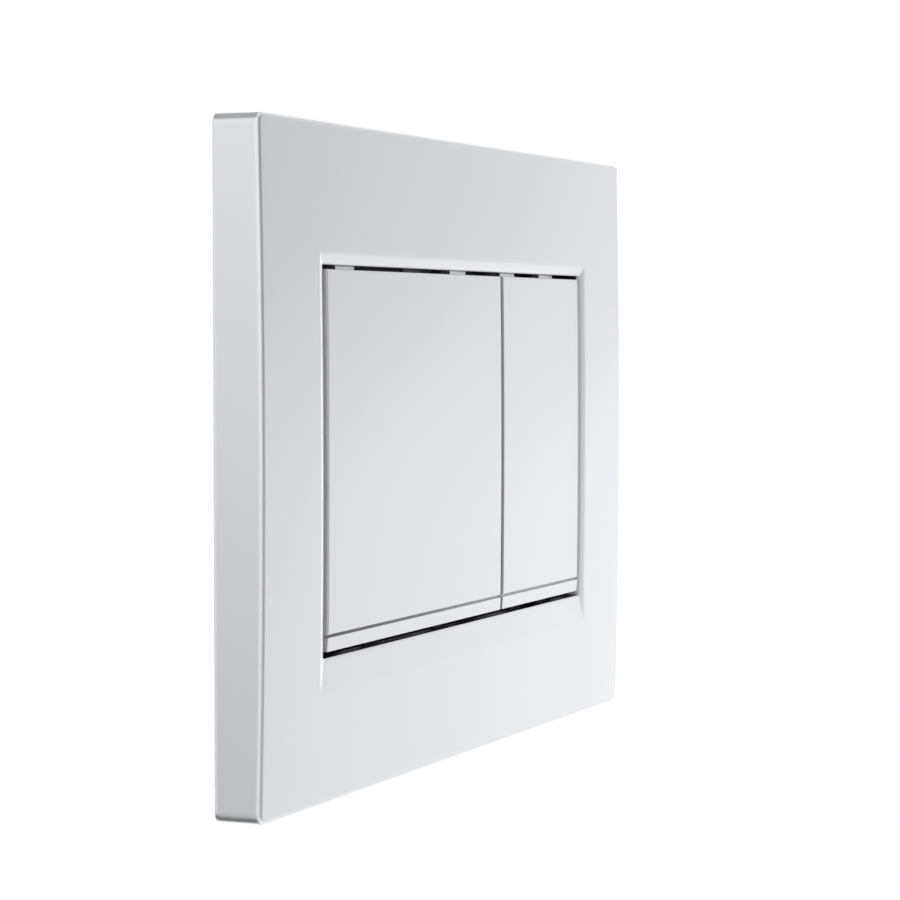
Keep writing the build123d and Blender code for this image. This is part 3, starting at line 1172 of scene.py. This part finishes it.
    def _root_plate(self, name: str, root: Vector, width: float, foot_z: float) -> Piece:
        """Starts a leaf spring with its flat root and the square hole for the locating peg.

        Args:
            name: Name of the piece.
            root: Middle of the plate's top edge.
            width: Width of the strip.
            foot_z: Height of the plate's lower edge.

        Returns:
            The piece, in edit mode.
        """
        piece = Bench.start(
            name,
            bpy.ops.mesh.primitive_plane_add,
            (width, root.z - foot_z, 1.0),
            size=1.0,
            location=(root.x, root.y, (root.z + foot_z) / 2),
            rotation=(math.pi / 2, 0.0, 0.0),
        )
        bpy.ops.object.mode_set(mode="EDIT")
        peg_z = root.z - self.peg_drop
        half_x, half_z = (side / 2 for side in self.peg_hole)
        for side in (-1.0, 1.0):
            Bench.bisect((root.x + side * half_x, 0.0, 0.0), (1.0, 0.0, 0.0))
            Bench.bisect((0.0, 0.0, peg_z + side * half_z), (0.0, 0.0, 1.0))
        Bench.pick(
            piece,
            Pick.FACE,
            lambda at: abs(at.x - root.x) < half_x and abs(at.z - peg_z) < half_z,
        )
        bpy.ops.mesh.delete(type="FACE")
        return piece

    def _round_ends(self, piece: Piece, root: Vector, width: float) -> None:
        """Rounds the corners at the root and the tip of a leaf and leaves edit mode.

        Args:
            piece: The leaf in edit mode.
            root: Middle of its top edge.
            width: Width of the strip.
        """
        edge = width / 2 - HAIR
        ends = (root.z, self.tip_height - self.curl)
        Bench.pick(
            piece,
            Pick.VERTEX,
            lambda at: abs(at.x - root.x) > edge
            and min(abs(at.z - end) for end in ends) < self.corner_reach,
        )
        bpy.ops.mesh.bevel(affect="VERTICES", offset=self.corner, segments=self.corner_steps)
        Bench.close_up()


@dataclass
class PushRods:
    """The two push rods, each with its adjustable head and lock nut."""

    white: MouldedPlastic = MouldedPlastic(
        "rod_white_plastic", (0.74, 0.74, 0.71), (0.66, 0.66, 0.62), 0.42
    )
    grey: MouldedPlastic = MouldedPlastic(
        "pad_grey_plastic", (0.11, 0.11, 0.115), (0.085, 0.085, 0.09), 0.45
    )
    brass: BareMetal = BareMetal("nut_turned_brass", (0.72, 0.55, 0.26), (0.55, 0.38, 0.16), 0.3)
    radius: float = 4.5 * MM
    chamfer: float = 0.5 * MM
    rod_edge: float = 0.15 * MM
    rod_facets: int = 64
    bore: float = 2.02 * MM
    bore_end: float = 2.8 * MM
    tail_radius: float = 3.5 * MM
    tail_start: float = 18.0 * MM
    tail_waist: float = 3.0 * MM
    catch_drop: float = 5.0 * MM
    catch_rim: float = 1.2 * MM
    catch_floor: float = 0.7 * MM
    pad_radius: float = 5.0 * MM
    pad_thickness: float = 1.8 * MM
    pad_edge: float = 0.3 * MM
    pad_dome: tuple[tuple[float, float], ...] = (
        (0.0, 0.0),
        (0.45, 0.05 * MM),
        (0.75, 0.18 * MM),
        (0.92, 0.45 * MM),
        (1.0, 0.85 * MM),
    )
    stem: float = 2.0 * MM
    flats: float = 7.0 * MM
    sink: float = 0.35 * MM
    overcut: float = 0.2 * MM
    nut_edge: float = 0.06 * MM
    drill_facets: int = 40

    def build(self) -> None:
        """Makes the full rod's pieces and copies them for the half rod."""
        bodies = {"full": Body.FULL_ROD, "half": Body.HALF_ROD}
        for piece, slot, maker, finish in (
            ("push_rod", "rod_plastic", self._rod, self.white),
            ("rod_pad", "pad_plastic", self._pad, self.grey),
            ("rod_nut", "nut_brass", self._nut, self.brass),
        ):
            seats = {
                f"{share}_turned_{piece}": Seat(f"{share}_{piece}", body, slot)
                for share, body in bodies.items()
            }
            fill(seats, maker, finish)

    def _rod(self, blank: Blank) -> Piece:
        """Turns a rod with a bored front end and a slimmer tail that has a catch groove.

        Args:
            blank: Name and box of the piece.

        Returns:
            The piece.
        """
        edge = self.chamfer
        front, back = blank.low.y, blank.high.y
        catch = back - self.catch_drop
        outline = (
            (0.0, self.bore_end),
            (self.bore, self.bore_end),
            (self.bore, front),
            (self.radius - edge, front),
            (self.radius, front + edge),
            (self.radius, self.tail_start - edge),
            (self.radius - edge, self.tail_start),
            (self.tail_radius, self.tail_start),
            (self.tail_radius, catch - self.catch_rim),
            (self.tail_waist, catch - self.catch_floor),
            (self.tail_waist, catch + self.catch_floor),
            (self.tail_radius, catch + self.catch_rim),
            (self.tail_radius, back - 2 * edge),
            (self.tail_radius - 2 * edge, back),
            (0.0, back),
        )
        piece = Bench.turned(blank.name, outline, Spin.Y, blank.axis, self.rod_facets)
        Bench.ease(piece, self.rod_edge)
        return piece

    def _pad(self, blank: Blank) -> Piece:
        """Turns a rod's head: a slightly domed disc on a stem.

        Args:
            blank: Name and box of the piece.

        Returns:
            The piece.
        """
        front, end = blank.low.y, blank.high.y
        back = front + self.pad_thickness
        outline = (
            *((share * self.pad_radius, front + rise) for share, rise in self.pad_dome),
            (self.pad_radius, back - self.pad_edge),
            (self.pad_radius - self.pad_edge, back),
            (self.stem, back),
            (self.stem, end - self.chamfer),
            (self.stem - self.chamfer, end),
            (0.0, end),
        )
        return Bench.turned(blank.name, outline, Spin.Y, blank.axis, self.rod_facets)

    def _nut(self, blank: Blank) -> Piece:
        """Makes a lock nut with a bored and countersunk middle.

        Args:
            blank: Name and box of the piece.

        Returns:
            The piece.
        """
        front, back, axis = blank.low.y, blank.high.y, blank.axis
        block = HexBlock(self.flats, axis, front, back)
        piece = block.build(blank.name)
        mouth = self.bore + self.sink + self.overcut
        outline = (
            (0.0, front - self.overcut),
            (mouth, front - self.overcut),
            (self.bore, front + self.sink),
            (self.bore, back - self.sink),
            (mouth, back + self.overcut),
            (0.0, back + self.overcut),
        )
        drill = Bench.turned(f"{blank.name}_drill", outline, Spin.Y, axis, self.drill_facets)
        Bench.cut(piece, drill)
        block.turn_corners(piece)
        Bench.ease(piece, self.nut_edge)
        return piece


@dataclass
class WallFixings:
    """The slotted hexagon bolts and oblong washers that hold the carrier to the cistern."""

    zinc: BareMetal = BareMetal(
        "zinc_plated_steel", (0.62, 0.62, 0.63), (0.54, 0.53, 0.49), 0.34
    )
    pressed: BareMetal = BareMetal(
        "pressed_zinc_steel", (0.58, 0.58, 0.59), (0.50, 0.49, 0.46), 0.38
    )
    flats: float = 10.0 * MM
    head: float = 3.0 * MM
    head_edge: float = 0.04 * MM
    slot: tuple[float, float] = (1.2 * MM, 1.4 * MM)
    neck: float = 2.6 * MM
    neck_end: float = 0.6 * MM
    neck_facets: int = 40
    crest: float = 3.0 * MM
    crest_share: float = 0.06
    core: float = 2.45 * MM
    pitch: float = 1.0 * MM
    spare_turns: int = 2
    thread_steps: int = 28
    point: float = 1.0 * MM
    point_share: float = 0.78
    washer_corner: float = 2.4 * MM
    corner_steps: int = 6
    washer_edge: float = 0.16 * MM
    washer_hole: float = 3.3 * MM
    punch_overcut: float = 1.0 * MM
    punch_facets: int = 48

    def build(self) -> None:
        """Makes the left bolt and washer and copies them to the right."""
        for piece, slot, maker, finish in (
            ("fixing_bolt", "bolt_steel", self._bolt, self.zinc),
            ("bolt_washer", "washer_steel", self._washer, self.pressed),
        ):
            seats = {
                f"{side}_{piece}_detailed": Seat(f"{side}_{piece}", Body.PLATE, slot)
                for side in ("left", "right")
            }
            fill(seats, maker, finish)

    def _bolt(self, blank: Blank) -> Piece:
        """Models a bolt from a slotted head, a neck and a cut thread.

        Args:
            blank: Name and box of the piece.

        Returns:
            The piece.
        """
        name, low, high, axis = blank.name, blank.low, blank.high, blank.axis
        seat = low.y + self.head
        block = HexBlock(self.flats, axis, low.y, seat)
        piece = block.build(name)
        half, deep = self.slot[0] / 2, self.slot[1]
        slot = Bench.block(
            f"{name}_slot",
            (low.x - self.head, low.y - deep, axis[2] - half),
            (high.x + self.head, low.y + deep, axis[2] + half),
        )
        Bench.cut(piece, slot)
        block.turn_corners(piece)
        Bench.ease(piece, self.head_edge)
        outline = ((0.0, seat), (self.neck, seat), (self.neck, self.neck_end), (0.0, self.neck_end))
        neck = Bench.turned(f"{name}_neck", outline, Spin.Y, axis, self.neck_facets)
        return Bench.join((piece, neck, self._thread(f"{name}_thread", axis, high.y)))

    def _thread(self, name: str, axis: Triple, end: float) -> Piece:
        """Winds a thread with the screw modifier, cuts it to length and tapers its point.

        Args:
            name: Name of the piece.
            axis: The point at Y = 0 of the bolt's middle line.
            end: Y of the bolt's end.

        Returns:
            The piece.
        """
        start = self.neck_end - self.spare_turns * self.pitch
        crest_half = self.crest_share * self.pitch
        outline = (
            (self.core, start),
            (self.crest, start + self.pitch / 2 - crest_half),
            (self.crest, start + self.pitch / 2 + crest_half),
            (self.core, start + self.pitch),
        )
        piece = Bench.draw(name, [Spin.Y.point((0.0, 0.0, 0.0), *corner) for corner in outline])
        bpy.ops.object.mode_set(mode="OBJECT")
        Bench.modify(
            piece,
            "SCREW",
            axis="Y",
            screw_offset=self.pitch,
            iterations=math.ceil((end - start) / self.pitch) + self.spare_turns,
            steps=self.thread_steps,
            render_steps=self.thread_steps,
        )
        bpy.ops.object.mode_set(mode="EDIT")
        Bench.merge()
        shoulder = end - self.point
        for at, inner in ((self.neck_end, True), (shoulder, False)):
            clear = {"clear_inner": inner, "clear_outer": not inner}
            Bench.bisect(
                (0.0, at, 0.0), Spin.Y.value, use_fill=True, threshold=HAIR / 10, **clear
            )
        Bench.pick(piece, Pick.FACE, lambda at: at.y > shoulder - HAIR)
        Bench.push((0.0, self.point, 0.0))
        taper = (self.point_share, 1.0, self.point_share)
        bpy.ops.transform.resize(value=taper, center_override=(0.0, end, 0.0))
        Bench.close_up()
        piece.location = axis
        bpy.ops.object.transform_apply(location=True, rotation=True, scale=True)
        return piece

    def _washer(self, blank: Blank) -> Piece:
        """Models an oblong washer with rounded corners and a punched hole.

        Args:
            blank: Name and box of the piece.

        Returns:
            The piece.
        """
        piece = Bench.block(blank.name, blank.low, blank.high)
        front, back = blank.low.y - self.punch_overcut, blank.high.y + self.punch_overcut
        hole = self.washer_hole
        outline = ((0.0, front), (hole, front), (hole, back), (0.0, back))
        name = f"{blank.name}_punch"
        Bench.cut(piece, Bench.turned(name, outline, Spin.Y, blank.middle, self.punch_facets))
        Bench.round_corners(piece, blank, self.washer_corner, self.corner_steps)
        bpy.ops.object.mode_set(mode="OBJECT")
        Bench.ease(piece, self.washer_edge)
        return piece


@dataclass
class HingePins:
    """The drawn steel pins that the buttons swing on."""

    steel: BareMetal = BareMetal(
        "pin_drawn_steel", (0.58, 0.58, 0.6), (0.48, 0.48, 0.5), 0.28, (0.04, 1.0, 1.0)
    )
    chamfer: float = 0.25 * MM
    facets: int = 40

    def build(self) -> None:
        """Turns both pins."""
        material = self.steel.material()
        for share in ("full", "half"):
            seat = Seat(f"{share}_hinge_pin", Body.PLATE, "pin_steel")
            blank = seat.blank(f"{share}_turned_pin")
            left, right = blank.low.x, blank.high.x
            radius = (blank.high.z - blank.low.z) / 2
            outline = (
                (0.0, left),
                (radius - self.chamfer, left),
                (radius, left + self.chamfer),
                (radius, right - self.chamfer),
                (radius - self.chamfer, right),
                (0.0, right),
            )
            middle = (0.0, *blank.middle[1:])
            pin = Bench.turned(blank.name, outline, Spin.X, middle, self.facets)
            seat.take(pin, material)


@dataclass
class StopBuffers:
    """The rubber buffers that stop a pressed button."""

    rubber: MouldedPlastic = MouldedPlastic(
        "buffer_black_rubber", (0.028, 0.027, 0.027), (0.045, 0.043, 0.042), 0.7, 700.0
    )
    names: tuple[str, ...] = ("full_left", "full_right", "half_left", "half_right")
    head_back: float = -2.0 * MM
    stem_inset: float = 1.2 * MM
    corner: float = 1.3 * MM
    corner_steps: int = 5
    rounding: float = 0.22 * MM
    rounding_steps: int = 3

    def build(self) -> None:
        """Models the first buffer and copies it to the other places."""
        seats = {
            f"{name}_rubber_buffer": Seat(f"{name}_buffer", Body.PLATE, "buffer_rubber")
            for name in self.names
        }
        fill(seats, self._buffer, self.rubber)

    def _buffer(self, blank: Blank) -> Piece:
        """Models a buffer: a rounded head with a stem extruded from its back.

        Args:
            blank: Name and box of the piece.

        Returns:
            The piece.
        """
        high = blank.high
        piece = Bench.block(blank.name, blank.low, (high.x, self.head_back, high.z))
        Bench.round_corners(piece, blank, self.corner, self.corner_steps)
        Bench.pick(piece, Pick.FACE, lambda at: at.y > self.head_back - HAIR)
        bpy.ops.mesh.inset(thickness=self.stem_inset)
        Bench.push((0.0, high.y - self.head_back, 0.0))
        Bench.close_up()
        Bench.ease(piece, self.rounding, self.rounding_steps)
        return piece


@dataclass
class Carrier:
    """The moulded frame behind the cover, which keeps its CAD shape."""

    node: str = "mounting_frame"
    black: MouldedPlastic = MouldedPlastic(
        "carrier_black_plastic",
        (0.022, 0.022, 0.024),
        (0.030, 0.030, 0.033),
        edge_radius=0.5 * MM,
    )

    def build(self) -> None:
        """Dresses the frame."""
        dress(self.node, self.black.material())


class Along(str, Enum):
    """Sides of a card that a fade runs along."""

    WIDTH = "X"
    HEIGHT = "Y"


@dataclass(frozen=True)
class Fade:
    """A change of shade along one side of a card, between two places from its middle."""

    along: Along
    start: float
    end: float
    change: float


@dataclass(frozen=True)
class StudioPaint:
    """Matt paint with a glow, which may fade."""

    name: str
    paint: float
    glow: float
    strength: float = 1.0
    fades: tuple[Fade, ...] = ()

    def material(self) -> Material:
        """Makes the finish.

        Returns:
            The material.
        """
        material, wiring, shader = Wiring.material(self.name)
        inputs = {
            "Base Color": neutral(self.paint),
            "Roughness": 1.0,
            "Specular IOR Level": 0.0,
            "Emission Color": neutral(self.glow),
            "Emission Strength": self.strength,
        }
        wiring.feed(shader, inputs)
        axes = wiring.axes(wiring.place())
        glow: object = self.glow
        for fade in self.fades:
            change = wiring.ramp(axes[fade.along.value], fade.start, fade.end, fade.change)
            glow = wiring.calc("ADD", glow, change)
            wiring.feed(shader, {"Emission Color": glow})
        return material


@dataclass
class ReflectorCard:
    """A plain card out of sight that only the plating mirrors."""

    name: str
    centre: Triple
    width: float
    height: float
    tilt_deg: float
    turn_deg: float
    shade: float
    fades: tuple[Fade, ...] = ()

    def build(self) -> None:
        """Makes the card as a plane."""
        plane = bpy.ops.mesh.primitive_plane_add
        card = Bench.start(self.name, plane, (self.width, self.height, 1.0), size=1.0)
        card.location = self.centre
        card.rotation_euler = (math.radians(self.tilt_deg), 0.0, math.radians(self.turn_deg))
        card.visible_camera = False
        card.visible_diffuse = False
        card.visible_shadow = False
        glow = StudioPaint(f"{self.name}_glow", 0.0, self.shade, fades=self.fades)
        card.data.materials.append(glow.material())


NEAR_FADES = (
    Fade(Along.WIDTH, -0.135, 0.048, 0.575),
    Fade(Along.WIDTH, 0.063, 0.27, 0.18),
    Fade(Along.HEIGHT, -0.03, -0.125, 0.16),
)
LEFT_FADES = (Fade(Along.HEIGHT, -0.45, 0.03, 0.475),)
FOOT_FADES = (Fade(Along.WIDTH, 0.12, -0.05, 0.36),)
FLOOR_FADES = (Fade(Along.HEIGHT, 0.9, -0.9, 0.45),)
RIGHT_FADES = (Fade(Along.WIDTH, -0.9, 0.9, 0.4),)
CARDS = (
    ReflectorCard("far_card", (0.20, -1.3, 0.655), 2.8, 1.89, 90.0, 0.0, 0.32),
    ReflectorCard("edge_strip", (0.50, -0.0235, -0.02), 0.023, 0.29, 90.0, 90.0, 5.4),
    ReflectorCard("near_card", (0.296, -0.324, 0.10), 0.6, 0.8, 90.0, 67.0, 0.08, NEAR_FADES),
    ReflectorCard("left_card", (-0.538, 0.336, 0.15), 0.5, 0.9, 90.0, 67.0, 0.375, LEFT_FADES),
    ReflectorCard("foot_card", (-0.30, 0.20, -0.24), 0.5, 0.38, 0.0, 0.0, 0.12, FOOT_FADES),
    ReflectorCard("floor_flag", (-0.70, -1.20, -0.29), 2.2, 1.8, 0.0, 0.0, 0.34, FLOOR_FADES),
    ReflectorCard("right_flag", (1.40, 0.72, -0.29), 1.8, 1.2, 0.0, 0.0, 0.45, RIGHT_FADES),
    ReflectorCard("crown_card", (0.40, 0.45, 0.62), 1.0, 0.9, 0.0, 0.0, 0.42),
    ReflectorCard("brow_card", (-0.36, 0.42, 0.62), 0.52, 0.9, 0.0, 0.0, 0.36),
)


@dataclass
class Studio:
    """White studio: an even white sky, a pale floor well below the plate, and cards."""

    floor_z: float = -0.30
    floor_size: float = 14.0
    floor_shade: float = 0.93
    floor_glow: float = 0.07
    cards: Sequence[ReflectorCard] = CARDS

    def build(self) -> None:
        """Makes the sky, the floor and the cards."""
        world = bpy.data.worlds.new("white_sky")
        bpy.context.scene.world = world
        world.use_nodes = True
        sky = world.node_tree.nodes["Background"]
        Wiring(world.node_tree).feed(sky, {"Color": neutral(1.0), "Strength": 1.0})
        place = (0.0, 0.0, self.floor_z)
        plane = bpy.ops.mesh.primitive_plane_add
        floor = Bench.start("floor", plane, size=self.floor_size, location=place)
        paint = StudioPaint("floor_paint", self.floor_shade, 1.0, self.floor_glow)
        floor.data.materials.append(paint.material())
        for card in self.cards:
            card.build()
        LOG.info("studio: floor and %d cards", len(self.cards))


@dataclass
class PhotoCamera:
    """Camera at the photograph's viewing angle."""

    place: Triple = (-0.7085, -0.3047, 0.03313)
    turn_deg: float = -67.241
    tilt_deg: float = -2.486
    lens_mm: float = 114.27
    sensor_mm: float = 36.0

    def build(self) -> None:
        """Makes the camera and gives it to the scene."""
        data = bpy.data.cameras.new("photo_camera")
        data.lens = self.lens_mm
        data.sensor_width = self.sensor_mm
        camera = bpy.data.objects.new("photo_camera", data)
        bpy.context.scene.collection.objects.link(camera)
        camera.location = self.place
        tilt, turn = math.radians(90.0 + self.tilt_deg), math.radians(self.turn_deg)
        camera.rotation_euler = (tilt, 0.0, turn)
        bpy.context.scene.camera = camera


def main() -> None:
    """Builds the studio and every sub-assembly in order."""
    logging.basicConfig(level=logging.INFO, format="%(name)s: %(message)s")
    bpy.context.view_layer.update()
    bpy.context.scene.view_settings.view_transform = "Standard"
    assemblies = (
        Studio(),
        PhotoCamera(),
        CoverPlate(),
        ButtonPair(),
        Carrier(),
        HingePins(),
        LeafSprings(),
        PushRods(),
        WallFixings(),
        StopBuffers(),
    )
    for assembly in assemblies:
        assembly.build()


if __name__ == "__main__":
    main()
